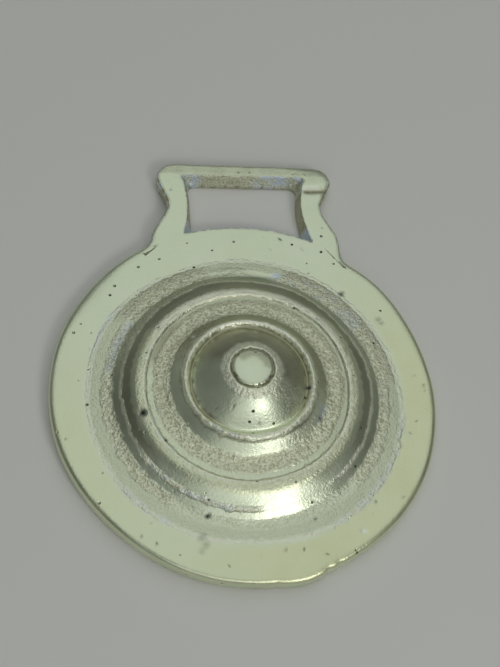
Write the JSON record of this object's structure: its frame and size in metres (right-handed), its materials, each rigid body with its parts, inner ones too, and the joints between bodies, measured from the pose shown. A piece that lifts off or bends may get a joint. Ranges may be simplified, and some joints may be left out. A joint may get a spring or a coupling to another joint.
{
  "type": "horse brass",
  "caption": "Cast brass harness pendant: a round disc stepped up in rings to a domed boss with a button, hollow behind, with a slotted strap loop at its top.",
  "frame": {"origin": "on the plane of the flat back, below the centre of the box round the whole brass", "axes": "+Z out of the face; +Y from the disc towards the strap loop; +X to the right of someone who looks at the face with the loop at the top"},
  "size_m": [0.0784, 0.0974, 0.0155],
  "materials": {
    "cast_brass": "sand-cast yellow brass, filed and hand-polished on the rim, slopes and dome, with granular skin left in the coves, and old pale tarnish"
  },
  "bodies": {
    "root": {"brass_casting": "cast_brass"}
  },
  "joints": []
}
